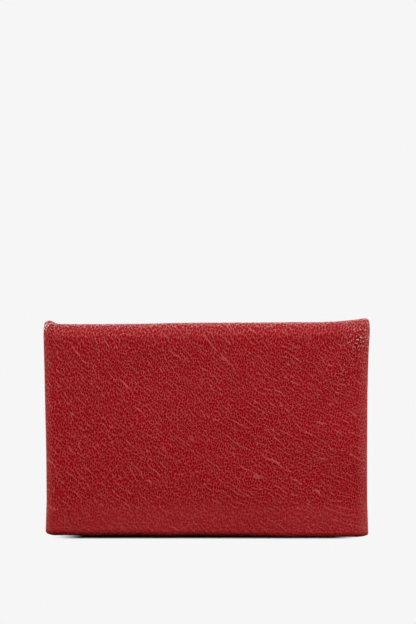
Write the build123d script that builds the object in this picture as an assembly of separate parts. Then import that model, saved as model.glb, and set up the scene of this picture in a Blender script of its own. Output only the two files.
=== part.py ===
"""Bifold leather card holder, stitch-free folded construction, closed by a ring-spring snap.

Two flat halves hang from a rounded leather fold along the top edge.  Each half is
an outer cover leather with a stiffener board and a lining leather glued behind it,
and a pocket leather that forms one card slot, joined to the cover round the bottom
edge and at both side margins.  The snap sits near the free (bottom) edge: cap and
socket on the front half, stud on the back half's pocket leather only, so that
nothing shows on the plain back cover.

Frame: +Z up, X across the width, Y through the depth.  The plain back cover faces
-Y, the snap cap faces +Y.  The origin is the centre of the bounding box's bottom.
Units are millimetres.
"""

import os
from math import asin, cos, pi, radians, sin

from build123d import *

os.makedirs("parts", exist_ok=True)

# ----------------------------------------------------------------- driving sizes
overall_height = 70.0      # standing height, from the free edge to the top of the fold
fold_width = 105.0         # width at the fold, where the leather flares a little
cover_width = 103.6        # width of the two halves
body_depth = 10.0          # closed depth without the snap cap
corner_r = 3.0             # rounded free corners, seen from the front
edge_round = 0.55          # rounding of the cover's outer rim

leather_t = 0.9            # outer goat leather
stiffener_t = 0.3          # board between cover and lining
lining_t = 0.5             # lining leather
slot_gap = 1.3             # free thickness of each card slot
pocket_t = 0.8             # pocket leather

pocket_mouth_z = 56.0      # height of the card slots' mouths
side_margin = 6.0          # width of the glued side margins of each pocket
board_inset = 1.4          # the stiffener stops short of the cover's rim

fold_r = body_depth / 2    # outer radius of the fold
fold_z = overall_height - fold_r
shoulder_deg = 43.5        # arc of the fold that stays with each half
bend_axis_r = 5.05         # radius of the two bend axes from the fold's centre

bottom_r = 1.9             # outer radius of each half's bottom edge
bottom_flat = 0.1          # the bottom edge is pressed flat by this much where it stands
bottom_end = 0.9           # the turned edge stops short of the panels' sides by this much

# snap, all round sizes are radii
snap_z = 8.5
cap_r, cap_h = 4.5, 1.1
post_r, post_hole_r = 1.0, 1.05
socket_flange_r, socket_r, socket_rim_r = 4.0, 3.5, 3.1
mouth_r, groove_r, cavity_r = 1.95, 2.15, 2.0
stud_flange_r, neck_r, head_r = 3.2, 1.25, 1.7
rivet_r, rivet_hole_r = 0.8, 0.85
spring_r, spring_wire_r = 1.66, 0.2
washer_r, spacer_r = 4.6, 2.2
washer_t, rivet_t = 0.2, 0.3

# ----------------------------------------------------------------- derived planes
mid_y = -cap_h / 2                       # mid-plane between the halves
half_t = leather_t + stiffener_t + lining_t + slot_gap + pocket_t
half_gap = body_depth - 2 * half_t       # middle compartment, closed
y_out = fold_r                           # distances from the mid-plane, outside to inside
y_board = y_out - leather_t
y_lining = y_board - stiffener_t
y_slot = y_lining - lining_t
y_pocket = y_slot - slot_gap
y_inner = y_pocket - pocket_t
bottom_cz = bottom_r - bottom_flat
bottom_cy = y_out - bottom_r
half_w = cover_width / 2


def slab(x0, x1, d0, d1, z0, z1):
    """A block between two distances from the mid-plane, on the back (-Y) side."""
    return Pos((x0 + x1) / 2, -(d0 + d1) / 2, (z0 + z1) / 2) * Box(
        x1 - x0, abs(d1 - d0), z1 - z0
    )


def outline(width, z0, z1, r):
    """Prism through the depth with the two bottom corners rounded."""
    pts = [(-width / 2, z1 + 10), (-width / 2, z0), (width / 2, z0), (width / 2, z1 + 10)]
    face = make_face(Polyline(*pts, close=True))
    low = [v for v in face.vertices() if abs(v.Y - z0) < 1e-6]
    face = fillet(low, r)
    prism = extrude(face, amount=60, both=True)
    return Rot(90, 0, 0) * prism


def tube_arc(r_in, r_out, a0, a1, width):
    """Part of the fold: a0 and a1 in degrees from the back side, over the top."""

    def at(r, a):
        return (-r * cos(radians(a)), r * sin(radians(a)))

    am = (a0 + a1) / 2
    edges = [
        ThreePointArc(at(r_out, a0), at(r_out, am), at(r_out, a1)),
        Line(at(r_out, a1), at(r_in, a1)),
        ThreePointArc(at(r_in, a1), at(r_in, am), at(r_in, a0)),
        Line(at(r_in, a0), at(r_out, a0)),
    ]
    face = Plane.YZ * make_face(edges)
    return Pos(0, 0, fold_z) * extrude(face, amount=width / 2, both=True)


def bottom_bar():
    """Leather turned round the free edge: a half tube, flat where it stands."""
    r_in = bottom_r - leather_t
    a = asin(bottom_cz / bottom_r)           # where the flat standing strip begins
    pts = {
        "out_back": (-bottom_r, 0.0),
        "mid_back": (-bottom_r * cos(a / 2), -bottom_r * sin(a / 2)),
        "flat_back": (-bottom_r * cos(a), -bottom_cz),
        "flat_front": (bottom_r * cos(a), -bottom_cz),
        "mid_front": (bottom_r * cos(a / 2), -bottom_r * sin(a / 2)),
        "out_front": (bottom_r, 0.0),
        "in_front": (r_in, 0.0),
        "in_low": (0.0, -r_in),
        "in_back": (-r_in, 0.0),
    }
    edges = [
        ThreePointArc(pts["out_back"], pts["mid_back"], pts["flat_back"]),
        Line(pts["flat_back"], pts["flat_front"]),
        ThreePointArc(pts["flat_front"], pts["mid_front"], pts["out_front"]),
        Line(pts["out_front"], pts["in_front"]),
        ThreePointArc(pts["in_front"], pts["in_low"], pts["in_back"]),
        Line(pts["in_back"], pts["out_back"]),
    ]
    face = Plane.YZ * (Pos(-bottom_cy, bottom_cz) * make_face(edges))
    bar = extrude(face, amount=half_w - bottom_end, both=True)
    ends = [
        e
        for e in bar.edges().filter_by(GeomType.LINE)
        if abs(abs(e.center().X) - (half_w - bottom_end)) < 1e-6
        and abs(e.center().Z) < 1e-6
    ]
    return chamfer(ends, 0.45)


def snap_turn(points):
    """A solid of revolution about the snap's axis, from (radius, y) points."""
    face = make_face(Polyline(*points, close=True))
    return Pos(0, 0, snap_z) * revolve(face, Axis.Y)


def snap_pin(r, ya, yb):
    return snap_turn([(0, ya), (r, ya), (r, yb), (0, yb)])


def flip(shape):
    """The front half's copy of a back-half piece."""
    return mirror(shape, about=Plane.XZ)


half_outline = outline(cover_width, 0.0, 80.0, corner_r)

# ----------------------------------------------------------------- one half (back side)
cover = slab(-half_w, half_w, y_board, y_out, bottom_cz, fold_z) & half_outline
rim = [
    e
    for e in cover.edges().filter_by(lambda e: abs(e.center().Y + y_out) < 1e-6)
    if bottom_cz + 0.05 < e.center().Z < fold_z - 0.05
]
cover = fillet(rim, edge_round)

bottom_edge = bottom_bar()
stiffener = slab(
    -half_w + board_inset, half_w - board_inset, y_lining, y_board, 3.2, fold_z - 1.0
)
lining = slab(-half_w + 0.4, half_w - 0.4, y_slot, y_lining, bottom_cz, fold_z) & half_outline
pocket = slab(-half_w, half_w, y_inner, y_pocket, bottom_cz, pocket_mouth_z) & half_outline
margin_left = (
    slab(-half_w + 0.4, -half_w + side_margin, y_pocket, y_slot, bottom_cz, pocket_mouth_z)
    & half_outline
)
margin_right = mirror(margin_left, about=Plane.YZ)

shoulder = tube_arc(y_board, y_out, 0, shoulder_deg, fold_width)
shoulder_lining = tube_arc(y_board - lining_t, y_board, 0, shoulder_deg, cover_width - 0.8)
fold_leather = tube_arc(
    y_board, y_out, 90 - shoulder_deg, 90 + shoulder_deg, fold_width
)
fold_lining = tube_arc(
    y_board - lining_t, y_board, 90 - shoulder_deg, 90 + shoulder_deg, cover_width - 0.8
)

# ----------------------------------------------------------------- snap, in the mid-plane's frame
post_hole = snap_pin(post_hole_r, 0.5, 8.0)
rivet_hole = snap_pin(rivet_hole_r, -y_slot, 0.35)

front_cover = flip(cover) - post_hole
front_stiffener = flip(stiffener) - post_hole
front_lining = flip(lining) - post_hole
front_pocket = flip(pocket) - post_hole
front_spacer = snap_turn(
    [(post_hole_r, y_pocket), (spacer_r, y_pocket), (spacer_r, y_slot), (post_hole_r, y_slot)]
)

dome = [
    (post_r, y_out),
    (cap_r - 0.12, y_out),
    (cap_r, y_out + 0.14),
    (cap_r, y_out + 0.34),
    (cap_r - 0.28, y_out + 0.55),
    (cap_r - 1.1, y_out + 0.82),
    (cap_r - 2.4, y_out + 1.02),
    (0, y_out + cap_h),
    (0, y_inner - 0.2),
    (post_r, y_inner - 0.2),
]
snap_cap = snap_turn(dome)

mouth_y = -(y_inner - 0.35)              # open face of the socket
snap_socket = snap_turn(
    [
        (post_hole_r, y_inner),
        (socket_flange_r, y_inner),
        (socket_flange_r, y_inner - 0.28),
        (socket_r, y_inner - 0.42),
        (socket_r, mouth_y + 0.45),
        (socket_rim_r, mouth_y),
        (mouth_r + 0.25, mouth_y),
        (mouth_r, mouth_y + 0.18),
        (mouth_r, mouth_y + 0.42),
        (groove_r, mouth_y + 0.42),
        (groove_r, mouth_y + 0.98),
        (cavity_r, mouth_y + 0.98),
        (cavity_r, y_inner - 0.22),
        (post_hole_r, y_inner - 0.22),
    ]
)
spring_y = mouth_y + 0.70
ring = Pos(0, spring_y, snap_z) * (Rot(90, 0, 0) * Torus(spring_r, spring_wire_r))
snap_spring = ring - Pos(0, spring_y, snap_z + spring_r) * Box(0.9, 2, 1.4)

stud_face = -y_inner
snap_stud = snap_turn(
    [
        (0, stud_face),
        (stud_flange_r, stud_face),
        (stud_flange_r, stud_face + 0.22),
        (neck_r + 0.35, stud_face + 0.32),
        (neck_r, stud_face + 0.5),
        (neck_r, spring_y + 0.1),
        (head_r - 0.12, spring_y + 0.34),
        (head_r, spring_y + 0.52),
        (head_r - 0.1, spring_y + 0.72),
        (head_r - 0.5, spring_y + 0.9),
        (0, spring_y + 0.96),
    ]
) - rivet_hole
back_pocket = pocket - rivet_hole
back_washer = snap_turn(
    [
        (rivet_hole_r, -y_pocket),
        (washer_r, -y_pocket),
        (washer_r, -y_pocket - washer_t),
        (rivet_hole_r, -y_pocket - washer_t),
    ]
)
stud_rivet = snap_turn(
    [
        (0, -y_pocket - washer_t - rivet_t),
        (stud_flange_r, -y_pocket - washer_t - rivet_t),
        (stud_flange_r, -y_pocket - washer_t),
        (rivet_r, -y_pocket - washer_t),
        (rivet_r, 0.25),
        (0, 0.25),
    ]
)

nodes = {
    "back_cover": cover,
    "back_bottom_edge": bottom_edge,
    "back_stiffener": stiffener,
    "back_lining": lining,
    "back_pocket": back_pocket,
    "back_margin_left": margin_left,
    "back_margin_right": margin_right,
    "back_shoulder": shoulder,
    "back_shoulder_lining": shoulder_lining,
    "fold_leather": fold_leather,
    "fold_lining": fold_lining,
    "front_shoulder": flip(shoulder),
    "front_shoulder_lining": flip(shoulder_lining),
    "front_cover": front_cover,
    "front_bottom_edge": flip(bottom_edge),
    "front_stiffener": front_stiffener,
    "front_lining": front_lining,
    "front_pocket": front_pocket,
    "front_margin_left": flip(margin_left),
    "front_margin_right": flip(margin_right),
    "snap_cap": snap_cap,
    "snap_spacer": front_spacer,
    "snap_socket": snap_socket,
    "snap_ring_spring": snap_spring,
    "snap_stud": snap_stud,
    "snap_stud_rivet": stud_rivet,
    "snap_stud_washer": back_washer,
}

for name, shape in nodes.items():
    placed = Pos(0, mid_y, 0) * shape
    solids = placed.solids()
    if len(solids) != 1:
        print("note:", name, "has", len(solids), "solids")
    export_step(Compound(children=list(solids)) if len(solids) > 1 else solids[0], f"parts/{name}.step")

print("bend axes at y =", round(mid_y - bend_axis_r * sin(pi / 4), 4),
      round(mid_y + bend_axis_r * sin(pi / 4), 4),
      "z =", round(fold_z + bend_axis_r * sin(pi / 4), 4),
      "half_t", half_t, "half_gap", half_gap, "mid_y", mid_y)
print("planes", dict(y_out=y_out, y_board=y_board, y_lining=y_lining, y_slot=y_slot,
                     y_pocket=y_pocket, y_inner=y_inner))
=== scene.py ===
import math

import bpy
import numpy as np
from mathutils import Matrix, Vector


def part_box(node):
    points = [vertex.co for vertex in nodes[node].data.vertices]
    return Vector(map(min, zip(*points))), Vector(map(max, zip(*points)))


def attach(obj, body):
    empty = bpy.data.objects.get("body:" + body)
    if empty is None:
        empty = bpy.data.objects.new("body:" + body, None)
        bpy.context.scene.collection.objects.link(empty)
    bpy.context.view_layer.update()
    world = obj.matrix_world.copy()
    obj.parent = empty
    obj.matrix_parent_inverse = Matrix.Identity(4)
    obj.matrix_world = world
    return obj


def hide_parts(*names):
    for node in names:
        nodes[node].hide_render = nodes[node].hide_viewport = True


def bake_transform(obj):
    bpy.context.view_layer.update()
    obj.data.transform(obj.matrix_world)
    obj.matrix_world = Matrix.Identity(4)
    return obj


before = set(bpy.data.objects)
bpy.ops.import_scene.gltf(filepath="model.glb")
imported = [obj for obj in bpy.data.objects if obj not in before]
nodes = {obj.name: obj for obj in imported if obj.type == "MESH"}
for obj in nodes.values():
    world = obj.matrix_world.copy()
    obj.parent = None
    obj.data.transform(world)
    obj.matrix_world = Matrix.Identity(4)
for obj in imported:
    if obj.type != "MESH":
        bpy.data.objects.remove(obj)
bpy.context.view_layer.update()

MM = 0.001

# ------------------------------------------------------------------ sizes, from the CAD frame (mm)
_bc, _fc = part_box("back_cover"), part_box("front_cover")
MID = (_bc[0].y + _fc[1].y) / 2 / MM                  # mid-plane between the halves
R = (_fc[1].y - _bc[0].y) / 2 / MM                    # outer radius of the fold
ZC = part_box("fold_leather")[1].z / MM - R             # height of the fold's centre
W = _bc[1].x / MM                                     # half width of the panels
_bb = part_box("back_bottom_edge")
RB = (_bb[1].y - _bb[0].y) / 2 / MM                   # radius of the turned bottom edge
ZB = _bb[1].z / MM                                    # height of its centre
LEAF = 2 * RB                                         # thickness of one half
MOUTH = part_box("back_pocket")[1].z / MM               # height of the card slots' mouths
_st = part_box("snap_stud")
SNAP_Z = (_st[0].z + _st[1].z) / 2 / MM
POCKET_T = 0.8

LA = math.pi / 2 * R
LB = ZC - ZB
LC = math.pi * RB
LD = MOUTH - ZB
S_PANEL, S_TURN, S_POCKET = LA, LA + LB, LA + LB + LC
S_END = S_POCKET + LD


def ramp(v, a, b):
    """Smooth step from 0 at a to 1 at b."""
    t = np.clip((np.asarray(v, float) - a) / (b - a), 0.0, 1.0)
    return t * t * (3 - 2 * t)


def waves(x, y, scale, seed, n=28):
    """Smooth, seeded surface variation of about unit size, with features of about the given scale."""
    rng = np.random.RandomState(seed)
    total = np.zeros(np.broadcast(x, y).shape)
    for _ in range(n):
        a = rng.uniform(0, 2 * math.pi)
        k = 2 * math.pi / scale * rng.uniform(0.55, 1.5)
        total = total + np.cos(k * (math.cos(a) * x + math.sin(a) * y) + rng.uniform(0, 2 * math.pi))
    return total / math.sqrt(n / 2.0)


# ------------------------------------------------------------------ the leather's path through one half
def path(s):
    """Point (y', z) and inward normal on the outer surface at distance s from the fold's crest."""
    s = np.asarray(s, float)
    phi = math.pi / 2 - s / R
    psi = np.clip((s - S_TURN) / RB, 0, math.pi)
    y = np.where(s < S_PANEL, -R * np.cos(phi), -R)
    z = np.where(s < S_PANEL, ZC + R * np.sin(phi), ZC - (s - S_PANEL))
    ny = np.where(s < S_PANEL, np.cos(phi), 1.0)
    nz = np.where(s < S_PANEL, -np.sin(phi), 0.0)
    turn = (s >= S_TURN) & (s < S_POCKET)
    y = np.where(turn, -(R - RB) - RB * np.cos(psi), y)
    z = np.where(turn, ZB - RB * np.sin(psi), z)
    ny = np.where(turn, np.cos(psi), ny)
    nz = np.where(turn, np.sin(psi), nz)
    up = s >= S_POCKET
    y = np.where(up, -(R - LEAF), y)
    z = np.where(up, ZB + (s - S_POCKET), z)
    ny = np.where(up, -1.0, ny)
    nz = np.where(up, 0.0, nz)
    return y, z, ny, nz


# half widths at each height, left (-X) and right (+X), and the crest's line across the width
_WZ = [-1.0, 3.0, 12.0, 27.0, 46.7, 58.3, 64.0, 66.5, 72.0]
_WL = [51.96, 51.88, 51.62, 51.74, 52.18, 52.42, 52.55, 52.60, 52.55]
_WR = [52.20, 52.02, 51.76, 51.74, 51.85, 52.15, 52.50, 52.60, 52.55]
_TX = [-53.0, -51.6, -50.5, -49.5, -48.2, -40.0, -30.0, -20.0, -14.0, -5.0, 10.0, 30.0, 38.0, 42.0, 46.0, 49.0, 50.6, 51.6, 53.0]
_TZ = [-0.16, 0.06, -0.04, -0.62, -1.15, -1.18, -1.16, -1.10, -0.90, -0.75, -0.68, -0.62, -0.50, -0.28, 0.00, 0.38, 0.66, 0.88, 0.80]


def smooth_line(x, xs, ys, width):
    out = np.zeros(np.shape(x))
    offsets = np.linspace(-1, 1, 9)
    weights = np.exp(-2.0 * offsets**2)
    for o, w in zip(offsets, weights):
        out = out + w * np.interp(x + o * width, xs, ys)
    return out / weights.sum()


def place(side, x0, s, e):
    """Row-frame point in metres of nominal width x0, path distance s, depth e under the outer surface."""
    y, z, ny, nz = path(s)
    y = y + ny * e
    z = z + nz * e
    wide = np.where(x0 < 0, np.interp(z, _WZ, _WL), np.interp(z, _WZ, _WR)) / W
    rc = np.where(x0 < 0, 1.7, 1.3)
    low = np.clip(rc - z, 0, rc)
    corner = rc - np.sqrt(np.maximum(rc**2 - low**2, 0.0))
    t = np.clip(1 - s / LA, 0, 1)
    crest = 0.22 * np.clip(t, 0, 1) ** 3
    x = x0 * wide * (1 - (corner + crest) / W)
    top = ramp(z, 50.0, 67.0)
    z = z + top * smooth_line(x, _TX, _TZ, 0.9)
    lift = (0.16 + 0.52 * ramp(x, 44.0, -30.0)) * ramp(z, 6.0, 0.0) * (side < 0)     # the left end of the free edge stands a hair clear
    z = np.maximum(z, 0.0) + lift
    return np.stack(np.broadcast_arrays(x * MM, (MID - side * y) * MM, z * MM), axis=-1)


# ------------------------------------------------------------------ mesh helpers
def mesh_object(name, verts, faces, smooth=True):
    mesh = bpy.data.meshes.new(name)
    mesh.from_pydata([tuple(v) for v in verts], [], faces)
    mesh.validate()
    if smooth:
        mesh.polygons.foreach_set("use_smooth", [True] * len(mesh.polygons))
    mesh.update()
    obj = bpy.data.objects.new(name, mesh)
    bpy.context.scene.collection.objects.link(obj)
    return obj


def give(obj, name, values):
    """Stores a float or vector on every vertex."""
    values = np.asarray(values, np.float32)
    if values.ndim == 1:
        a = obj.data.attributes.new(name, "FLOAT", "POINT")
        a.data.foreach_set("value", values)
    else:
        a = obj.data.attributes.new(name, "FLOAT_VECTOR", "POINT")
        a.data.foreach_set("vector", values.ravel())


def zipper(dense, coarse, at, flip):
    """Triangles between a fine border and a coarse one; at[k] is coarse k's index on the fine border."""
    out = []
    for k in range(len(coarse) - 1):
        d0, d1 = at[k], at[k + 1]
        m = (d0 + d1) // 2
        for i in range(d0, m):
            out.append((dense[i], dense[i + 1], coarse[k]))
        out.append((dense[m], coarse[k + 1], coarse[k]))
        for i in range(m, d1):
            out.append((dense[i], dense[i + 1], coarse[k + 1]))
    return [t[::-1] for t in out] if flip else out


def picks(n, step, extra=()):
    return sorted(set(range(0, n, step)) | {n - 1} | set(extra))


# ------------------------------------------------------------------ the outer leather of one half
def skin(name, side, seed, fine=0.378):
    """side is -1 for the back half and +1 for the front half (snap side)."""
    rows = np.concatenate([
        [-1.1, -0.75, -0.38],
        np.linspace(0, LA, 22)[:-1],
        np.linspace(S_PANEL, S_TURN, int(LB / fine))[:-1],
        np.linspace(S_TURN, S_POCKET, 18)[:-1],
        np.linspace(S_POCKET, S_END - POCKET_T / 2, int(LD / (fine * 1.45))),
    ])
    n_rows = len(rows)
    a_l, a_r, a2, margin, t_edge = 1.9, 2.6, 0.7, 1.6, 0.33
    n_flat = int(2 * W / (fine * 1.0))
    th1 = np.linspace(0, math.pi / 2, 9)[1:]
    th2 = np.linspace(0, math.pi / 2, 6)[1:]
    mg = np.array([0.4, 1.0])

    s = rows[:, None]
    _, zz, _, _ = path(s)
    free = 0.95 + 0.25 * ramp(s, LA - 4, LA + 3)
    depth = free + (1.75 - 1.2) * ramp(s, S_PANEL + (ZC - 60), S_PANEL + (ZC - 54)) + 0.10 * ramp(s, S_TURN - 3, S_TURN)
    depth = np.where(s > S_TURN, 1.85 - 0.45 * ramp(s, S_POCKET - 1.0, S_POCKET + 7), depth)
    b = 0.56 * depth

    def thick(x):
        mid = 0.4 + 0.4 * (1 - ramp(np.abs(x), 43.0, 47.0))
        return 0.4 + (mid - 0.4) * ramp(s, S_TURN, S_POCKET)

    def columns(inner):
        xs, es = [], []
        ones = np.ones_like(s)
        # left side, from the inside of the turned margin outwards
        def edge(sign, a):
            cx, ce = [], []
            T = thick(np.array([[W]]))
            for th in th1:
                if inner:
                    cx.append(ones * sign * (W - a + (a - t_edge) * math.sin(th)))
                    ce.append(T + (b - T) * (1 - math.cos(th)))
                else:
                    cx.append(ones * sign * (W - a + a * math.sin(th)))
                    ce.append(b * (1 - math.cos(th)))
            for th in th2:
                if inner:
                    cx.append(ones * sign * (W - t_edge - (a2 - t_edge) * (1 - math.cos(th))))
                    ce.append(b + (depth - t_edge - b) * math.sin(th))
                else:
                    cx.append(ones * sign * (W - a2 * (1 - math.cos(th))))
                    ce.append(b + (depth - b) * math.sin(th))
            for m in mg:
                cx.append(ones * sign * (W - a2 - m * margin))
                ce.append(ones * (depth - t_edge) if inner else ones * depth)
            return cx, ce
        lx, le = edge(-1.0, a_l)
        rx, re_ = edge(1.0, a_r)
        flat = np.linspace(-(W - a_l), W - a_r, n_flat)
        xs = lx[::-1] + [ones * v for v in flat] + rx
        es = le[::-1] + [(thick(np.array([[v]])) if inner else 0 * ones) for v in flat] + re_
        return np.hstack(xs), np.hstack(es)

    X, E = columns(False)
    XI, EI = columns(True)
    n_cols = X.shape[1]
    k_edge = len(th1) + len(th2) + len(mg)
    wall = np.ones(n_cols)                     # 1 on the faces, 0 on the margins turned inside
    wall[: len(mg) + len(th2)] = 0
    wall[n_cols - len(mg) - len(th2):] = 0
    for i, th in enumerate(th1):
        wall[k_edge - 1 - i] = math.cos(th)
        wall[n_cols - k_edge + i] = math.cos(th)
    wall = np.clip(wall, 0, 1)[None, :]

    # ---- forms larger than the grain, in mm outwards
    S = s * np.ones_like(X)
    Z = zz * np.ones_like(X)
    on_pocket = ramp(S, S_TURN + LC * 0.55, S_POCKET + 1)
    near_snap = np.exp(-((X**2 + (Z - SNAP_Z) ** 2) / 8.0**2))
    h = 0.11 * waves(X, S * side, 26, seed) + 0.035 * waves(X, S * side, 8, 5 + seed)
    h = h + 0.16 * (1 - (X / W) ** 2) * ramp(Z, 4, 30) * (1 - on_pocket)
    h = h * (1 - near_snap) * (1 - 0.4 * on_pocket) * (0.15 + 0.85 * ramp(S, 1.0, 9.0))
    h = h - 0.10 * np.exp(-(((np.abs(X) - (W - 4.2)) / 1.3) ** 2)) * ramp(Z, 3, 8) * (1 - ramp(Z, 60, 66)) * (1 - on_pocket)
    h = h - 0.07 * np.exp(-(((Z - 10.4) / 0.9) ** 2)) * (1 - on_pocket) * (1 - near_snap)
    if side < 0:
        # soft diagonal fold running down from the right end of the crest
        ax, az, bx, bz = 52.0, 67.0, 31.0, 41.0
        dx, dz = bx - ax, bz - az
        L = math.hypot(dx, dz)
        along = ((X - ax) * dx + (Z - az) * dz) / L
        across = ((X - ax) * dz - (Z - az) * dx) / L
        fade = ramp(along, -3, 4) * (1 - ramp(along, 12, L)) * (1 - on_pocket)
        h = h + fade * (0.34 * np.exp(-((across / 3.0) ** 2)) - 0.26 * np.exp(-(((across - 5.5) / 3.2) ** 2)) - 0.12 * np.exp(-(((across + 6.0) / 3.5) ** 2)))
        h = h + 0.22 * np.exp(-(((X + 50.5) / 1.8) ** 2 + ((Z - 66.5) / 2.2) ** 2)) * (1 - on_pocket)
        h = h - 0.25 * np.exp(-(((X + 47.0) / 1.6) ** 2 + ((Z - 68.0) / 2.5) ** 2)) * (1 - on_pocket)
    else:
        rr = np.sqrt(X**2 + (Z - SNAP_Z) ** 2)
        h = h - 0.30 * (1 - ramp(rr, 3.6, 6.0)) * (1 - on_pocket)
    # the pocket's sides are drawn in to the glued margins, and a line is creased along its mouth
    h = h - 0.45 * ramp(np.abs(X), 44.3, 50.3) * on_pocket * ramp(S, S_POCKET - 1.0, S_POCKET + 7)
    h = h - 0.09 * np.exp(-(((Z - (MOUTH - 2.4)) / 0.28) ** 2)) * on_pocket
    h = h + 0.05 * ramp(Z, MOUTH - 2.1, MOUTH - 1.4) * on_pocket
    h = h * wall
    dip = np.interp(s, [-1.1, -0.75, -0.38, 0.0], [0.30, 0.10, 0.025, 0.0])
    P = place(side, X, S, E - h + dip)

    # the mouth's rounded end
    cap_rows = []
    T_end = (thick(X))[-1:, :]
    for th in np.linspace(0, math.pi, 7)[1:-1]:
        e_add = T_end / 2 * (1 - math.cos(th)) * wall
        s_add = POCKET_T / 2 * math.sin(th)
        cap_rows.append((e_add, s_add))
    caps = []
    for e_add, s_add in cap_rows:
        caps.append(place(side, X[-1:], S[-1:] + s_add, E[-1:] - h[-1:] + e_add))
    P = np.concatenate([P] + caps, axis=0)
    extra = len(caps)
    S_all = np.concatenate([S] + [S[-1:] + sa for _, sa in cap_rows], axis=0)
    X_all = np.concatenate([X] + [X[-1:]] * extra, axis=0)
    nr = P.shape[0]

    verts = [P.reshape(-1, 3)]
    idx = np.arange(nr * n_cols).reshape(nr, n_cols)
    faces = np.stack([idx[:-1, :-1], idx[:-1, 1:], idx[1:, 1:], idx[1:, :-1]], -1).reshape(-1, 4).tolist()

    # coarse inner surface
    r_fold = list(range(0, 25, 3))
    r_turn0 = int(np.searchsorted(rows, S_TURN - 1e-6))
    r_turn1 = int(np.searchsorted(rows, S_POCKET - 1e-6))
    rp = sorted(set(r_fold + list(range(24, r_turn0, 8)) + list(range(r_turn0, r_turn1 + 1, 2)) + list(range(r_turn1, n_rows - 3, 8)) + [n_rows - 2]))
    cp = sorted(set(list(range(0, k_edge + 1, 2)) + list(range(k_edge, n_cols - k_edge, 8)) + list(range(n_cols - k_edge, n_cols, 2)) + [n_cols - 1]))
    XIc, EIc = XI[np.ix_(rp, cp)], EI[np.ix_(rp, cp)]
    Sc = S[np.ix_(rp, cp)]
    hc = h[np.ix_(rp, cp)]
    Pi = place(side, XIc, Sc, EIc - hc + 0.02)
    base = nr * n_cols
    ii = base + np.arange(len(rp) * len(cp)).reshape(len(rp), len(cp))
    verts.append(Pi.reshape(-1, 3))
    faces += np.stack([ii[:-1, :-1], ii[1:, :-1], ii[1:, 1:], ii[:-1, 1:]], -1).reshape(-1, 4).tolist()
    rmap = list(rp)
    rmap[-1] = nr - 1
    faces += zipper(idx[0, :].tolist(), ii[0, :].tolist(), cp, True)
    faces += zipper(idx[-1, :].tolist(), ii[-1, :].tolist(), cp, False)
    faces += zipper(idx[:, 0].tolist(), ii[:, 0].tolist(), [0] + rmap[1:], False)
    faces += zipper(idx[:, -1].tolist(), ii[:, -1].tolist(), [0] + rmap[1:], True)
    obj = mesh_object(name, np.concatenate(verts), faces)
    fix_normals(obj)

    # ---- coordinates that the grain follows, and masks
    arc = np.zeros(n_cols)
    for j in range(k_edge):
        i = n_cols - k_edge + j
        arc[i] = arc[i - 1] + np.hypot(X[60, i] - X[60, i - 1], E[60, i] - E[60, i - 1]) - abs(X[60, i] - X[60, i - 1])
        k = k_edge - 1 - j
        arc[k] = arc[k + 1] - (np.hypot(X[60, k] - X[60, k + 1], E[60, k] - E[60, k + 1]) - abs(X[60, k] - X[60, k + 1]))
    flat_x = X_all + arc[None, :]
    flat_s = S_all * (1.0 if side < 0 else -1.0)
    fx = np.concatenate([flat_x.ravel(), flat_x[np.ix_(rp, cp)].ravel()])
    fs = np.concatenate([flat_s.ravel(), flat_s[np.ix_(rp, cp)].ravel()])
    allx = np.concatenate([X_all.ravel(), XIc.ravel()])
    grain_coordinates(obj, fx, fs)
    on_outer = np.concatenate([np.ones(P.shape[0] * n_cols), np.zeros(Pi.shape[0] * Pi.shape[1])])
    wall_all = (wall * np.ones((nr, 1))).ravel()
    wall_all = np.concatenate([wall_all, np.zeros(Pi.shape[0] * Pi.shape[1])])
    sabs = np.abs(fs)
    band = ramp(sabs, S_PANEL + 51.0, S_PANEL + 57.0) * (1 - ramp(sabs, S_TURN + 1, S_TURN + 3)) * 0.45
    sides = ramp(np.abs(allx), W - 3.4, W - 0.8) * 0.35
    snap_press = np.exp(-((allx**2 + (ZC - (sabs - S_PANEL) - SNAP_Z) ** 2) / 5.6**2)) * (0.8 if side > 0 else 0.0) * (sabs < S_TURN)
    give(obj, "relief", on_outer * (0.25 + 0.75 * wall_all) * np.clip(1 - band - sides - snap_press, 0.15, 1))
    give(obj, "edge", ramp(np.abs(allx), W - np.where(allx > 0, 4.0, 2.6), W - 1.0) * on_outer)
    give(obj, "fold", (1 - ramp(sabs, 1.5, 9.0)) * on_outer)
    give(obj, "press", np.clip(band * 2 + snap_press, 0, 1))
    # handled corners, polished and glossier, with painted glints in the colour: below the right end of the fold and on
    # the left ear
    height = ZC - (sabs - S_PANEL)
    bx, bz = -0.504, -0.864
    al = (allx - 51.0) * bx + (height - 68.0) * bz
    ac = (allx - 51.0) * bz - (height - 68.0) * bx
    corner = np.exp(-((ac / 4.0) ** 2)) * ramp(al, -1.0, 2.0) * (1 - 0.88 * ramp(al, 5.5, 9.5)) * (1 - ramp(al, 14.0, 30.0))
    ear = 2.4 * np.exp(-(((allx + 50.7) / 1.3) ** 2 + ((height - 68.2) / 1.4) ** 2))
    give(obj, "polish_and_painted_glints", (corner + ear) * on_outer * (sabs < S_TURN) * (1.0 if side < 0 else 0.0))
    return obj


def fix_normals(obj):
    import bmesh

    bm = bmesh.new()
    bm.from_mesh(obj.data)
    bmesh.ops.recalc_face_normals(bm, faces=bm.faces)
    bm.to_mesh(obj.data)
    bm.free()
    obj.data.update()


# the grain's lines run from upper left to lower right, steeper on the left
_FX = np.linspace(-62.0, 62.0, 249)
_FA = np.radians(np.interp(_FX, [-52, -46, -20, 10, 30, 52], [54, 52, 46, 42, 35, 28]))
_FS = np.cumsum(np.sin(_FA)) * (_FX[1] - _FX[0])
_FC = np.cumsum(np.cos(_FA)) * (_FX[1] - _FX[0])


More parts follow.
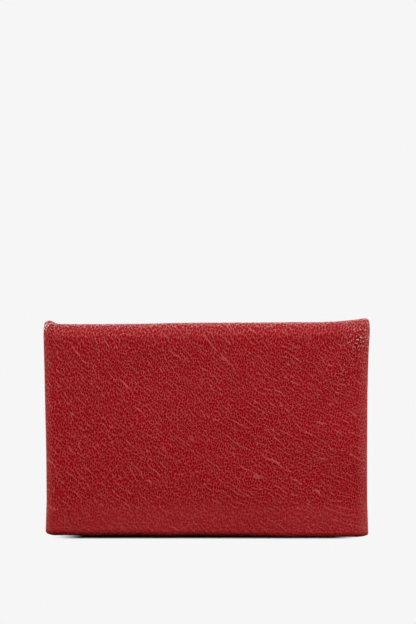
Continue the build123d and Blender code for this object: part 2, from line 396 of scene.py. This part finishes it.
def grain_coordinates(obj, fx, fs):
    """Where each vertex lies on the flat hide, in cells of grain: along and across the hide's lines, which turn upright over the fold."""
    wx = fx + 0.22 * waves(fx, fs, 11.0, 11) + 0.06 * waves(fx, fs, 4.2, 12)
    ws = fs + 0.22 * waves(fx, fs, 11.0, 13) + 0.06 * waves(fx, fs, 4.2, 14)
    turn = np.sign(ws) * (np.abs(ws) - 6.5 * (1 - np.exp(-np.abs(ws) / 6.5)))      # slow at the crest, then one to one
    pull = np.sign(ws) * (np.abs(ws) - 1.9 * (1 - np.exp(-np.abs(ws) / 4.8)))
    ang = np.interp(wx, _FX, _FA)
    u = np.interp(wx, _FX, _FC) + pull * np.sin(ang)
    v = -np.interp(wx, _FX, _FS) + turn * np.cos(ang)
    give(obj, "grain", np.stack([(wx + 0.42 * turn) / 0.80, v / 0.92, np.zeros_like(u)], -1))
    give(obj, "flow", np.stack([u / 5.5, v / 1.55, np.zeros_like(u)], -1))
    give(obj, "comb", np.stack([(wx + 0.25 * turn) / 0.82, pull / 1.30, np.zeros_like(u)], -1))
    give(obj, "over", 1 - ramp(np.abs(fs), 3.5, 11.5))
    give(obj, "brush", np.stack([fx / 1.5, fs / 0.62, np.zeros_like(u)], -1))
    give(obj, "hide", np.stack([fx, fs, np.zeros_like(u)], -1))


# ------------------------------------------------------------------ grain height, the same in geometry and in shading
def math_node(nt, op, a, b=None, c=None, clamp=False):
    n = nt.nodes.new("ShaderNodeMath")
    n.operation = op
    n.use_clamp = clamp
    for i, v in enumerate((a, b, c)):
        if v is None:
            continue
        if isinstance(v, (int, float)):
            n.inputs[i].default_value = v
        else:
            nt.links.new(v, n.inputs[i])
    return n.outputs[0]


def span(nt, v, a, b, lo=0.0, hi=1.0, smooth=True):
    n = nt.nodes.new("ShaderNodeMapRange")
    n.interpolation_type = "SMOOTHSTEP" if smooth else "LINEAR"
    nt.links.new(v, n.inputs["Value"])
    n.inputs["From Min"].default_value = a
    n.inputs["From Max"].default_value = b
    n.inputs["To Min"].default_value = lo
    n.inputs["To Max"].default_value = hi
    return n.outputs["Result"]


def voronoi(nt, vec, scale, feature="F1", randomness=0.9):
    n = nt.nodes.new("ShaderNodeTexVoronoi")
    n.voronoi_dimensions = "2D"
    n.feature = feature
    nt.links.new(vec, n.inputs["Vector"])
    n.inputs["Scale"].default_value = scale
    n.inputs["Randomness"].default_value = randomness
    return n


def noise(nt, vec, scale, detail=2.0, rough=0.5, dims="2D"):
    n = nt.nodes.new("ShaderNodeTexNoise")
    n.noise_dimensions = dims
    nt.links.new(vec, n.inputs["Vector"])
    n.inputs["Scale"].default_value = scale
    n.inputs["Detail"].default_value = detail
    n.inputs["Roughness"].default_value = rough
    return n.outputs[0]


def cells(nt, vec):
    """Distance from the pores and fine ridges between them."""
    pores = voronoi(nt, vec, 1.0, "F1", 1.0).outputs["Distance"]
    rim = voronoi(nt, vec, 1.0, "DISTANCE_TO_EDGE", 1.0).outputs["Distance"]
    return span(nt, pores, 0.12, 0.58), span(nt, rim, 0.0, 0.18, 1.0, 0.0)


def blend_values(nt, fac, a, b):
    return math_node(nt, "ADD", math_node(nt, "MULTIPLY", a, math_node(nt, "SUBTRACT", 1.0, fac)), math_node(nt, "MULTIPLY", b, fac))


def grain_height(nt, grain, flow, comb, over):
    """Returns (height 0..1, distance from the pores, web of ridges): pores in rows between fine ridges, with longer
    creases; over the fold the pores are drawn out across it."""
    dome, rim = cells(nt, grain)
    dome_c, rim_c = cells(nt, comb)
    some = noise(nt, grain, 1.05, 1.0, 0.5)
    turn = span(nt, math_node(nt, "ADD", over, math_node(nt, "MULTIPLY", math_node(nt, "SUBTRACT", some, 0.5), 0.9)), 0.35, 0.65)
    dome = blend_values(nt, turn, dome, dome_c)
    rim = blend_values(nt, turn, rim, rim_c)
    # wavering parallel creases, broken into dashes
    parts = nt.nodes.new("ShaderNodeSeparateXYZ")
    nt.links.new(flow, parts.inputs[0])
    phase = math_node(nt, "ADD", parts.outputs[1], math_node(nt, "MULTIPLY", noise(nt, flow, 0.50, 2.0, 0.5), 2.2))
    crease = span(nt, math_node(nt, "PINGPONG", phase, 0.5), 0.0, 0.10, 1.0, 0.0)
    where = noise(nt, flow, 1.9, 1.0, 0.5)
    crease = math_node(nt, "MULTIPLY", crease, span(nt, where, 0.38, 0.55, 0.0, 0.95))
    crease = math_node(nt, "MULTIPLY", crease, math_node(nt, "SUBTRACT", 1.0, math_node(nt, "MULTIPLY", over, 0.8)))
    patch = span(nt, noise(nt, grain, 2.0, 1.0, 0.5), 0.43, 0.62, 0.06, 0.88)
    web = math_node(nt, "MAXIMUM", math_node(nt, "MULTIPLY", rim, patch), crease)
    h = math_node(nt, "MULTIPLY", dome, 0.44)
    h = math_node(nt, "ADD", h, math_node(nt, "MULTIPLY", web, 0.50))
    h = math_node(nt, "ADD", h, math_node(nt, "MULTIPLY", some, 0.06))
    return h, dome, web


def relief_group():
    """Geometry nodes that raise the grain on a mesh by the same height that its shading uses."""
    g = bpy.data.node_groups.new("grain_relief", "GeometryNodeTree")
    g.interface.new_socket("Geometry", in_out="INPUT", socket_type="NodeSocketGeometry")
    g.interface.new_socket("Geometry", in_out="OUTPUT", socket_type="NodeSocketGeometry")
    gi, go = g.nodes.new("NodeGroupInput"), g.nodes.new("NodeGroupOutput")

    def named(name, kind):
        n = g.nodes.new("GeometryNodeInputNamedAttribute")
        n.data_type = kind
        n.inputs["Name"].default_value = name
        return n.outputs["Attribute"]

    h, _, _ = grain_height(g, named("grain", "FLOAT_VECTOR"), named("flow", "FLOAT_VECTOR"), named("comb", "FLOAT_VECTOR"), named("over", "FLOAT"))
    amount = math_node(g, "SUBTRACT", h, 0.5)
    amount = math_node(g, "MULTIPLY", amount, 0.11 * MM)
    amount = math_node(g, "MULTIPLY", amount, named("relief", "FLOAT"))
    scale = g.nodes.new("ShaderNodeVectorMath")
    scale.operation = "SCALE"
    g.links.new(g.nodes.new("GeometryNodeInputNormal").outputs[0], scale.inputs[0])
    g.links.new(amount, scale.inputs["Scale"])
    sp = g.nodes.new("GeometryNodeSetPosition")
    g.links.new(gi.outputs[0], sp.inputs["Geometry"])
    g.links.new(scale.outputs[0], sp.inputs["Offset"])
    g.links.new(sp.outputs[0], go.inputs[0])
    return g


def raise_grain(obj, group):
    m = obj.modifiers.new("relief", "NODES")
    m.node_group = group
    bpy.context.view_layer.update()
    dg = bpy.context.evaluated_depsgraph_get()
    mesh = bpy.data.meshes.new_from_object(obj.evaluated_get(dg), preserve_all_data_layers=True, depsgraph=dg)
    obj.modifiers.clear()
    obj.data = mesh
    mesh.update()


# ------------------------------------------------------------------ the lining of one half
def lining(name, side):
    rows = np.concatenate([[-0.9, -0.4], np.linspace(0, LA, 18)[:-1], np.linspace(S_PANEL, S_TURN - 0.6, 84)])
    s = rows[:, None]
    lo = 0.98 + 0.25 * ramp(s, LA - 4, LA + 3)
    hi = lo + 0.45
    w = W - 1.35
    rnd = 0.12
    n = 132
    top_x = np.linspace(-(w - rnd), w - rnd, n)
    th = np.linspace(0, math.pi / 2, 4)[1:]
    loop_x = list(top_x) + [w - rnd + rnd * math.sin(a) for a in th]
    loop_k = [0.0] * n + [rnd * (1 - math.cos(a)) for a in th]          # measured down from the visible face
    xs = [np.full_like(s, v) for v in loop_x]
    es = [hi - k for k in loop_k]
    xs.append(np.full_like(s, w)); es.append(lo + 0.02)
    for v in np.linspace(w, -w, 18)[1:-1]:
        xs.append(np.full_like(s, v)); es.append(lo)
    xs.append(np.full_like(s, -w)); es.append(lo + 0.02)
    for a in th[::-1]:
        xs.append(np.full_like(s, -(w - rnd + rnd * math.sin(a)))); es.append(hi - rnd * (1 - math.cos(a)))
    X, E = np.hstack(xs), np.hstack(es)
    S = s * np.ones_like(X)
    seed = 31 if side < 0 else 37
    _, Z, _, _ = path(S)
    wave = (0.06 * waves(X, S, 22, seed) + 0.02 * waves(X, S, 7, seed + 1)) * ramp(Z, 58, 50)
    wave = wave + 0.05 * waves(X, S, 16, seed + 2) * ramp(Z, 60, 67) * (0.3 + 0.7 * ramp(np.abs(S), 0.5, 4))
    dip = np.interp(s, [-0.9, -0.4, 0.0], [0.12, 0.02, 0.0])
    P = place(side, X, S, E - dip + wave * 0.5)
    nr, nc = X.shape
    idx = np.arange(nr * nc).reshape(nr, nc)
    nxt = np.roll(idx, -1, axis=1)
    faces = np.stack([idx[:-1], nxt[:-1], nxt[1:], idx[1:]], -1).reshape(-1, 4).tolist()
    # end caps, as strips between the visible face and the glued face
    verts = P.reshape(-1, 3)
    for r in (0, nr - 1):
        loop = idx[r].tolist()
        faces.append(loop if r else loop[::-1])
    obj = mesh_object(name, verts, faces)
    import bmesh

    bm = bmesh.new()
    bm.from_mesh(obj.data)
    bmesh.ops.triangulate(bm, faces=[f for f in bm.faces if len(f.verts) > 4])
    bmesh.ops.recalc_face_normals(bm, faces=bm.faces)
    bm.to_mesh(obj.data)
    bm.free()
    fs = (S * (1.0 if side < 0 else -1.0)).ravel()
    give(obj, "hide", np.stack([X.ravel(), fs, E.ravel()], -1))
    give(obj, "edge", ramp(np.abs(X.ravel()), w - 0.5, w))
    return obj


# ------------------------------------------------------------------ turned metal pieces
def rounded(points, r=0.05, n=4):
    """Rounds the corners of a lathe profile that isn't closed."""
    out = [points[0]]
    for a, b, c in zip(points, points[1:], points[2:]):
        va, vc = np.subtract(a, b), np.subtract(c, b)
        la, lc = np.hypot(*va), np.hypot(*vc)
        if la < 1e-6 or lc < 1e-6:
            out.append(b)
            continue
        k = min(r, la * 0.45, lc * 0.45)
        p, q = np.add(b, va / la * k), np.add(b, vc / lc * k)
        for t in np.linspace(0, 1, n):
            out.append(tuple((1 - t) ** 2 * p + 2 * t * (1 - t) * np.array(b) + t * t * q))
    out.append(points[-1])
    return out


def lathe(name, points, seg=112, r=0.05, closed=False):
    """Turned about the snap's axis; points are (radius, y') in mm, y' from the mid-plane."""
    pts = rounded(points, r)
    verts, faces, rings = [], [], []
    for rad, y in pts:
        if rad < 1e-6:
            rings.append([len(verts)])
            verts.append((0, (MID + y) * MM, SNAP_Z * MM))
            continue
        ring = []
        for k in range(seg):
            a = 2 * math.pi * k / seg
            ring.append(len(verts))
            verts.append((rad * math.cos(a) * MM, (MID + y) * MM, (SNAP_Z + rad * math.sin(a)) * MM))
        rings.append(ring)
    pairs = list(zip(rings, rings[1:]))
    if closed:
        pairs.append((rings[-1], rings[0]))
    for p, q in pairs:
        for k in range(seg):
            m = (k + 1) % seg
            if len(p) == 1 and len(q) > 1:
                faces.append((p[0], q[m], q[k]))
            elif len(q) == 1 and len(p) > 1:
                faces.append((p[k], p[m], q[0]))
            elif len(p) > 1:
                faces.append((p[k], p[m], q[m], q[k]))
    obj = mesh_object(name, verts, faces)
    fix_normals(obj)
    return obj


# ------------------------------------------------------------------ materials
def new_material(name):
    mat = bpy.data.materials.new(name)
    mat.use_nodes = True
    nt = mat.node_tree
    bsdf = nt.nodes["Principled BSDF"]
    return mat, nt, bsdf


def attribute(nt, name, vector=True):
    n = nt.nodes.new("ShaderNodeAttribute")
    n.attribute_type = "GEOMETRY"
    n.attribute_name = name
    return n.outputs["Vector"] if vector else n.outputs["Fac"]


def mix_color(nt, fac, a, b):
    n = nt.nodes.new("ShaderNodeMix")
    n.data_type = "RGBA"
    n.clamp_factor = True
    if isinstance(fac, (int, float)):
        n.inputs[0].default_value = fac
    else:
        nt.links.new(fac, n.inputs[0])
    for i, v in ((6, a), (7, b)):
        if isinstance(v, (tuple, list)):
            n.inputs[i].default_value = (*v, 1.0)
        else:
            nt.links.new(v, n.inputs[i])
    return n.outputs[2]


def bump(nt, height, distance, strength=1.0, normal=None):
    n = nt.nodes.new("ShaderNodeBump")
    n.inputs["Strength"].default_value = strength
    n.inputs["Distance"].default_value = distance
    nt.links.new(height, n.inputs["Height"])
    if normal is not None:
        nt.links.new(normal, n.inputs["Normal"])
    return n.outputs[0]


def outer_leather():
    mat, nt, bsdf = new_material("goat_leather_red")
    grain, flow = attribute(nt, "grain"), attribute(nt, "flow")
    hide, brush = attribute(nt, "hide"), attribute(nt, "brush")
    edge, fold = attribute(nt, "edge", False), attribute(nt, "fold", False)
    press = attribute(nt, "press", False)
    relief = attribute(nt, "relief", False)
    h, dome, web = grain_height(nt, grain, flow, attribute(nt, "comb"), attribute(nt, "over", False))
    tone = noise(nt, hide, 0.085, 3.0, 0.55)
    speck = noise(nt, grain, 2.1, 2.0, 0.6)
    brushed = span(nt, noise(nt, brush, 1.0, 3.0, 0.6), 0.30, 0.70)
    web = math_node(nt, "ADD", math_node(nt, "MULTIPLY", web, math_node(nt, "SUBTRACT", 1.0, math_node(nt, "MULTIPLY", press, 0.88))),
                    math_node(nt, "MULTIPLY", brushed, math_node(nt, "MULTIPLY", press, 0.50)))
    polish_and_painted_glints = attribute(nt, "polish_and_painted_glints", False)
    pit, mid, light = (0.236, 0.0002, 0.0024), (0.268, 0.0006, 0.0038), (0.356, 0.042, 0.041)
    col = mix_color(nt, span(nt, dome, 0.05, 0.80), pit, mid)
    col = mix_color(nt, span(nt, speck, 0.42, 0.66), col, (0.212, 0.0040, 0.0070))
    # painted highlight: the ridge tops are lightened and paled where the lights would glint on the grain, brighter
    # still over the fold
    top = math_node(nt, "MULTIPLY", span(nt, web, 0.12, 0.85), span(nt, speck, 0.25, 0.62, 1.0, 0.60))
    col = mix_color(nt, top, col, mix_color(nt, fold, light, (0.520, 0.190, 0.170)))
    col = mix_color(nt, math_node(nt, "MULTIPLY", span(nt, tone, 0.35, 0.70), 0.08), col, (0.250, 0.0040, 0.0075))
    # lighter on the rolled side edges: partly rubbed wear, partly painted highlight of the side lights
    raised = math_node(nt, "ADD", math_node(nt, "MULTIPLY", web, 0.75), 0.25)
    col = mix_color(nt, math_node(nt, "MULTIPLY", math_node(nt, "MULTIPLY", edge, raised), 0.80), col, (0.315, 0.062, 0.056))
    # painted highlight: the fold's crest is made lighter where the light falls on it
    col = mix_color(nt, math_node(nt, "MULTIPLY", math_node(nt, "MULTIPLY", fold, raised), 0.55), col, (0.400, 0.072, 0.064))
    # painted shade: the gaps between the ridges over the fold are darkened
    col = mix_color(nt, math_node(nt, "MULTIPLY", math_node(nt, "MULTIPLY", fold, span(nt, web, 0.10, 0.45, 1.0, 0.0)), 0.32), col, (0.130, 0.0030, 0.0045))
    col = mix_color(nt, math_node(nt, "MULTIPLY", press, 0.12), col, (0.310, 0.036, 0.032))
    # painted highlight: pale tips of the grain on the handled corners stand in for glints of the light
    painted_glint_tips = math_node(nt, "MULTIPLY", span(nt, h, 0.48, 0.78), span(nt, noise(nt, grain, 1.35, 1.0, 0.5), 0.44, 0.58))
    col = mix_color(nt, math_node(nt, "MULTIPLY", math_node(nt, "MULTIPLY", painted_glint_tips, polish_and_painted_glints), 0.95, clamp=True), col, (0.780, 0.460, 0.420))
    nt.links.new(col, bsdf.inputs["Base Color"])
    rough = span(nt, h, 0.2, 0.85, 0.52, 0.34, False)
    rough = math_node(nt, "ADD", rough, math_node(nt, "MULTIPLY", math_node(nt, "SUBTRACT", tone, 0.5), 0.10))
    rough = math_node(nt, "SUBTRACT", rough, math_node(nt, "MULTIPLY", polish_and_painted_glints, 0.20))
    nt.links.new(math_node(nt, "ADD", rough, math_node(nt, "MULTIPLY", edge, -0.04), clamp=True), bsdf.inputs["Roughness"])
    gloss = span(nt, h, 0.20, 0.85, 0.02, 0.34)
    nt.links.new(math_node(nt, "ADD", gloss, math_node(nt, "MULTIPLY", polish_and_painted_glints, span(nt, h, 0.45, 0.80, 0.0, 0.60))), bsdf.inputs["Specular IOR Level"])
    bsdf.inputs["Sheen Weight"].default_value = 0.02
    bsdf.inputs["Sheen Roughness"].default_value = 0.45
    bsdf.inputs["Sheen Tint"].default_value = (1.0, 0.55, 0.5, 1.0)
    # relief fades where the hide is pressed
    hh = math_node(nt, "MULTIPLY", h, math_node(nt, "ADD", math_node(nt, "MULTIPLY", relief, 0.75), 0.25))
    hh = math_node(nt, "MULTIPLY", hh, math_node(nt, "ADD", math_node(nt, "MULTIPLY", polish_and_painted_glints, 1.6), 1.0))
    hh = math_node(nt, "MULTIPLY", hh, math_node(nt, "ADD", math_node(nt, "MULTIPLY", fold, 0.9), 1.0))
    fine = noise(nt, grain, 5.5, 3.0, 0.6)
    n1 = bump(nt, fine, 0.014 * MM)
    n2 = bump(nt, hh, 0.16 * MM, 1.0, n1)
    nt.links.new(n2, bsdf.inputs["Normal"])
    return mat


def lining_leather():
    mat, nt, bsdf = new_material("lining_leather_red")
    hide, edge = attribute(nt, "hide"), attribute(nt, "edge", False)
    tone = noise(nt, hide, 0.10, 3.0, 0.55)
    pore = voronoi(nt, hide, 2.6, "F1", 1.0).outputs["Distance"]
    pit = span(nt, pore, 0.04, 0.30)
    fibre = noise(nt, hide, 6.5, 3.0, 0.65)
    col = mix_color(nt, span(nt, tone, 0.3, 0.7), (0.205, 0.0060, 0.0100), (0.270, 0.0120, 0.0160))
    col = mix_color(nt, math_node(nt, "MULTIPLY", math_node(nt, "SUBTRACT", 1.0, pit), 0.35), col, (0.120, 0.0030, 0.0050))
    col = mix_color(nt, math_node(nt, "MULTIPLY", edge, 0.5), col, (0.140, 0.0040, 0.0060))
    nt.links.new(col, bsdf.inputs["Base Color"])
    nt.links.new(math_node(nt, "ADD", span(nt, fibre, 0.3, 0.7, 0.50, 0.60, False), math_node(nt, "MULTIPLY", math_node(nt, "SUBTRACT", tone, 0.5), 0.10)), bsdf.inputs["Roughness"])
    bsdf.inputs["Specular IOR Level"].default_value = 0.34
    bsdf.inputs["Sheen Weight"].default_value = 0.06
    n1 = bump(nt, fibre, 0.014 * MM)
    n2 = bump(nt, pit, 0.030 * MM, 1.0, n1)
    nt.links.new(n2, bsdf.inputs["Normal"])
    return mat


def object_coords(nt):
    return nt.nodes.new("ShaderNodeTexCoord").outputs["Object"]


def edge_leather():
    """Dyed and burnished cut edge of leather."""
    mat, nt, bsdf = new_material("cut_edge_leather")
    at = object_coords(nt)
    n_big = noise(nt, at, 90, 2.0, 0.5, "3D")
    n_fine = noise(nt, at, 2600, 3.0, 0.6, "3D")
    col = mix_color(nt, span(nt, n_fine, 0.3, 0.7), (0.130, 0.0040, 0.0060), (0.235, 0.0110, 0.0140))
    col = mix_color(nt, math_node(nt, "MULTIPLY", span(nt, n_big, 0.4, 0.7), 0.3), col, (0.160, 0.0100, 0.0110))
    nt.links.new(col, bsdf.inputs["Base Color"])
    nt.links.new(span(nt, n_fine, 0.25, 0.75, 0.48, 0.66, False), bsdf.inputs["Roughness"])
    bsdf.inputs["Specular IOR Level"].default_value = 0.35
    nt.links.new(bump(nt, n_fine, 0.03 * MM), bsdf.inputs["Normal"])
    return mat


def board():
    mat, nt, bsdf = new_material("stiffener_board")
    at = object_coords(nt)
    fibre = noise(nt, at, 1500, 4.0, 0.7, "3D")
    fleck = noise(nt, at, 350, 2.0, 0.5, "3D")
    col = mix_color(nt, fibre, (0.44, 0.38, 0.30), (0.60, 0.54, 0.45))
    col = mix_color(nt, math_node(nt, "MULTIPLY", span(nt, fleck, 0.6, 0.75), 0.5), col, (0.30, 0.24, 0.18))
    nt.links.new(col, bsdf.inputs["Base Color"])
    nt.links.new(span(nt, fibre, 0.2, 0.8, 0.78, 0.95, False), bsdf.inputs["Roughness"])
    nt.links.new(bump(nt, fibre, 0.03 * MM), bsdf.inputs["Normal"])
    return mat


def metal(name, color, dark, r0, r1, scratch):
    mat, nt, bsdf = new_material(name)
    at = object_coords(nt)
    cloud = noise(nt, at, 260, 3.0, 0.55, "3D")
    fine = noise(nt, at, 5200, 3.0, 0.7, "3D")
    nt.links.new(mix_color(nt, span(nt, cloud, 0.35, 0.75), color, dark), bsdf.inputs["Base Color"])
    bsdf.inputs["Metallic"].default_value = 1.0
    rough = math_node(nt, "ADD", span(nt, cloud, 0.3, 0.75, r0, r1, False), math_node(nt, "MULTIPLY", span(nt, fine, 0.55, 0.8), 0.07))
    nt.links.new(rough, bsdf.inputs["Roughness"])
    nt.links.new(bump(nt, fine, scratch * MM), bsdf.inputs["Normal"])
    return mat


LEATHER, LINING, EDGE, BOARD = outer_leather(), lining_leather(), edge_leather(), board()
PLATED = metal("plated_snap", (0.79, 0.775, 0.745), (0.70, 0.685, 0.655), 0.13, 0.20, 0.0016)
STEEL = metal("spring_steel", (0.58, 0.575, 0.565), (0.45, 0.445, 0.44), 0.26, 0.38, 0.004)


def paint(obj, mat):
    obj.data.materials.clear()
    obj.data.materials.append(mat)


# ------------------------------------------------------------------ build the leather
GRAIN = relief_group()
mid_m = MID * MM

back_outer = skin("back_outer_leather", -1, 3)
front_outer = skin("front_outer_leather", 1, 4)
for o in (back_outer, front_outer):
    raise_grain(o, GRAIN)
    paint(o, LEATHER)
back_lining = lining("back_lining_leather", -1)
front_lining = lining("front_lining_leather", 1)
for o in (back_lining, front_lining):
    paint(o, LINING)

for o in (back_outer, back_lining):
    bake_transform(o)
for o in (front_outer, front_lining):
    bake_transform(o)

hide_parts("back_cover", "back_bottom_edge", "back_pocket", "back_shoulder", "fold_leather")
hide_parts("front_cover", "front_bottom_edge", "front_pocket", "front_shoulder")
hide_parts("back_lining", "back_shoulder_lining", "fold_lining")
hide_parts("front_lining", "front_shoulder_lining")

# ------------------------------------------------------------------ the snap, turned parts with their real lips and rounds
Y_OUT, Y_IN = R, R - LEAF
mouth_y = -(Y_IN - 0.35)
cap = lathe("snap_cap_dome", [
    (0.0, Y_OUT + 1.10), (1.4, Y_OUT + 1.065), (2.6, Y_OUT + 0.95), (3.35, Y_OUT + 0.80), (3.80, Y_OUT + 0.64),
    (3.95, Y_OUT + 0.56), (4.10, Y_OUT + 0.56), (4.32, Y_OUT + 0.46), (4.47, Y_OUT + 0.28), (4.50, Y_OUT + 0.12),
    (4.42, Y_OUT - 0.04), (4.20, Y_OUT - 0.10), (1.3, Y_OUT - 0.12), (1.0, Y_OUT - 0.3), (1.0, Y_IN - 0.2), (0.0, Y_IN - 0.2)], r=0.10)
socket = lathe("snap_socket_cup", [
    (1.02, Y_IN + 0.02), (4.0, Y_IN + 0.02), (4.0, Y_IN - 0.24), (3.62, Y_IN - 0.34), (3.5, Y_IN - 0.55),
    (3.5, mouth_y + 0.62), (3.36, mouth_y + 0.24), (3.06, mouth_y + 0.02), (2.5, mouth_y - 0.02), (2.16, mouth_y + 0.03), (1.95, mouth_y + 0.22),
    (1.95, mouth_y + 0.42), (2.15, mouth_y + 0.44), (2.15, mouth_y + 0.96), (2.0, mouth_y + 0.98), (2.0, Y_IN - 0.24), (1.02, Y_IN - 0.22)], r=0.07, closed=True)
sp = mouth_y + 0.70
stud = lathe("snap_stud_post", [
    (0.0, -Y_IN), (3.2, -Y_IN), (3.2, -Y_IN + 0.20), (2.9, -Y_IN + 0.25), (1.75, -Y_IN + 0.30), (1.35, -Y_IN + 0.42), (1.25, -Y_IN + 0.6),
    (1.25, sp + 0.10), (1.42, sp + 0.24), (1.64, sp + 0.40), (1.70, sp + 0.54), (1.66, sp + 0.70), (1.46, sp + 0.84), (1.15, sp + 0.92),
    (0.72, sp + 0.95), (0.60, sp + 0.88), (0.0, sp + 0.86)], r=0.05)
for o, node, body in ((cap, "snap_cap", "front_half"), (socket, "snap_socket", "front_half"), (stud, "snap_stud", "back_half")):
    paint(o, PLATED)
    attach(o, body)
    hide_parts(node)

for n in ("back_margin_left", "back_margin_right", "front_margin_left", "front_margin_right", "snap_spacer"):
    paint(nodes[n], EDGE)
for n in ("back_stiffener", "front_stiffener"):
    paint(nodes[n], BOARD)
for n in ("snap_stud_rivet",):
    paint(nodes[n], PLATED)
for n in ("snap_ring_spring", "snap_stud_washer"):
    paint(nodes[n], STEEL)


# ------------------------------------------------------------------ floor, light, camera
def stage_floor():
    size = 6.0
    floor = mesh_object("floor", [(-size, -size, 0), (size, -size, 0), (size, size, 0), (-size, size, 0)], [(0, 1, 2, 3)], False)
    mat = bpy.data.materials.new("pale_floor")
    mat.use_nodes = True
    nt = mat.node_tree
    nt.nodes.clear()
    out = nt.nodes.new("ShaderNodeOutputMaterial")
    mix = nt.nodes.new("ShaderNodeMixShader")
    ray = nt.nodes.new("ShaderNodeLightPath")
    diff = nt.nodes.new("ShaderNodeBsdfDiffuse")
    diff.inputs["Color"].default_value = (0.07, 0.07, 0.07, 1)
    glow = nt.nodes.new("ShaderNodeEmission")
    # painted contact shadow: camera rays see the floor's even glow darkened near the holder by ambient occlusion
    ao = nt.nodes.new("ShaderNodeAmbientOcclusion")
    ao.samples = 12
    ao.inputs["Distance"].default_value = 0.0075
    shade = span(nt, ao.outputs["AO"], 0.44, 0.76)
    # painted contact shadow: the dark line under the free edge stops short of both ends
    where = nt.nodes.new("ShaderNodeSeparateXYZ")
    nt.links.new(nt.nodes.new("ShaderNodeNewGeometry").outputs["Position"], where.inputs[0])
    ends = span(nt, math_node(nt, "ABSOLUTE", where.outputs["X"]), 0.0400, 0.0500, 1.0, 0.0)
    shade = math_node(nt, "SUBTRACT", 1.0, math_node(nt, "MULTIPLY", math_node(nt, "SUBTRACT", 1.0, shade), ends))
    glow_with_painted_shadow = nt.nodes.new("ShaderNodeMix")
    glow_with_painted_shadow.data_type = "RGBA"
    nt.links.new(shade, glow_with_painted_shadow.inputs[0])
    glow_with_painted_shadow.inputs[6].default_value = (0.004, 0.002, 0.002, 1)
    glow_with_painted_shadow.inputs[7].default_value = (0.922, 0.922, 0.922, 1)
    nt.links.new(glow_with_painted_shadow.outputs[2], glow.inputs["Color"])
    # behind the holder the floor glows pale for glossy rays only: a painted reflection that the polished snap mirrors
    pale, inner = nt.nodes.new("ShaderNodeEmission"), nt.nodes.new("ShaderNodeMixShader")
    pale.inputs["Color"].default_value = (0.60, 0.60, 0.60, 1)
    behind = math_node(nt, "MULTIPLY", ray.outputs["Is Glossy Ray"], span(nt, where.outputs["Y"], 0.010, 0.120))
    nt.links.new(behind, inner.inputs[0])
    nt.links.new(diff.outputs[0], inner.inputs[1])
    nt.links.new(pale.outputs[0], inner.inputs[2])
    nt.links.new(ray.outputs["Is Camera Ray"], mix.inputs[0])
    nt.links.new(inner.outputs[0], mix.inputs[1])
    nt.links.new(glow.outputs[0], mix.inputs[2])
    nt.links.new(mix.outputs[0], out.inputs["Surface"])
    paint(floor, mat)
    return floor


def area(name, loc, target, size_x, size_y, power, color=(1, 1, 1)):
    light = bpy.data.lights.new(name, "AREA")
    light.shape = "RECTANGLE"
    light.size, light.size_y = size_x, size_y
    light.energy = power
    light.color = color
    o = bpy.data.objects.new(name, light)
    bpy.context.scene.collection.objects.link(o)
    o.location = loc
    o.rotation_euler = (Vector(target) - Vector(loc)).to_track_quat("-Z", "Y").to_euler()
    return o


floor = stage_floor()
world = bpy.data.worlds.new("studio")
bpy.context.scene.world = world
world.use_nodes = True
wn = world.node_tree
wn.nodes.clear()
wo = wn.nodes.new("ShaderNodeOutputWorld")
wmix = wn.nodes.new("ShaderNodeMixShader")
wray = wn.nodes.new("ShaderNodeLightPath")
w1, w2 = wn.nodes.new("ShaderNodeBackground"), wn.nodes.new("ShaderNodeBackground")
w1.inputs["Color"].default_value = (1, 1, 1, 1)
wco, wsep, wmap = wn.nodes.new("ShaderNodeTexCoord"), wn.nodes.new("ShaderNodeSeparateXYZ"), wn.nodes.new("ShaderNodeMapRange")
wmap.interpolation_type = "SMOOTHSTEP"
for name, value in (("From Min", -0.15), ("From Max", 0.75), ("To Min", 0.07), ("To Max", 0.62)):
    wmap.inputs[name].default_value = value
wn.links.new(wco.outputs["Generated"], wsep.inputs[0])
wn.links.new(wsep.outputs["Y"], wmap.inputs["Value"])
wn.links.new(wmap.outputs["Result"], w1.inputs["Strength"])
w2.inputs["Color"].default_value = (0.922, 0.922, 0.922, 1)
w2.inputs["Strength"].default_value = 1.0
wn.links.new(wray.outputs["Is Camera Ray"], wmix.inputs[0])
wn.links.new(w1.outputs[0], wmix.inputs[1])
wn.links.new(w2.outputs[0], wmix.inputs[2])
wn.links.new(wmix.outputs[0], wo.inputs["Surface"])

aim = (0.0, mid_m, 0.040)
area("key_upper_right", (0.44, -0.56, 0.48), aim, 0.40, 0.40, 4.2)
area("fill_upper_left", (-0.52, -0.50, 0.36), aim, 0.45, 0.45, 1.7)
area("key_small", (0.47, -0.62, 0.42), aim, 0.10, 0.10, 3.6)
area("top_box", (0.0, 0.02, 0.60), aim, 0.8, 0.4, 0.4)
area("side_left", (-0.60, -0.08, 0.34), aim, 0.35, 0.35, 4.2)
area("side_right", (0.60, -0.06, 0.34), aim, 0.35, 0.35, 1.5)
area("rear_top", (0.0, 0.55, 0.36), aim, 1.1, 0.45, 4.0)
area("rear_left", (-0.60, 0.30, 0.14), aim, 0.45, 0.45, 2.4)
area("rear_right", (0.60, 0.30, 0.14), aim, 0.45, 0.45, 2.4)

# seen straight on from 0.6 m; the frame is 624 high, 3.108 per mm at the panel
cam_data = bpy.data.cameras.new("camera")
cam = bpy.data.objects.new("camera", cam_data)
bpy.context.scene.collection.objects.link(cam)
DIST = 0.60
cam.location = (0.00042, (MID - R) * MM - DIST, 0.0727)
cam.rotation_euler = (math.pi / 2, 0, 0)
cam_data.sensor_fit = "AUTO"
cam_data.sensor_width = 36.0
cam_data.lens = 36.0 * DIST / (624 / 3.108 * MM)
cam_data.clip_start = 0.01
cam_data.clip_end = 50
bpy.context.scene.camera = cam
bpy.context.scene.view_settings.view_transform = "Standard"
bpy.context.scene.view_settings.look = "None"
bpy.context.scene.view_settings.exposure = 0.0
bpy.context.scene.view_settings.gamma = 1.0
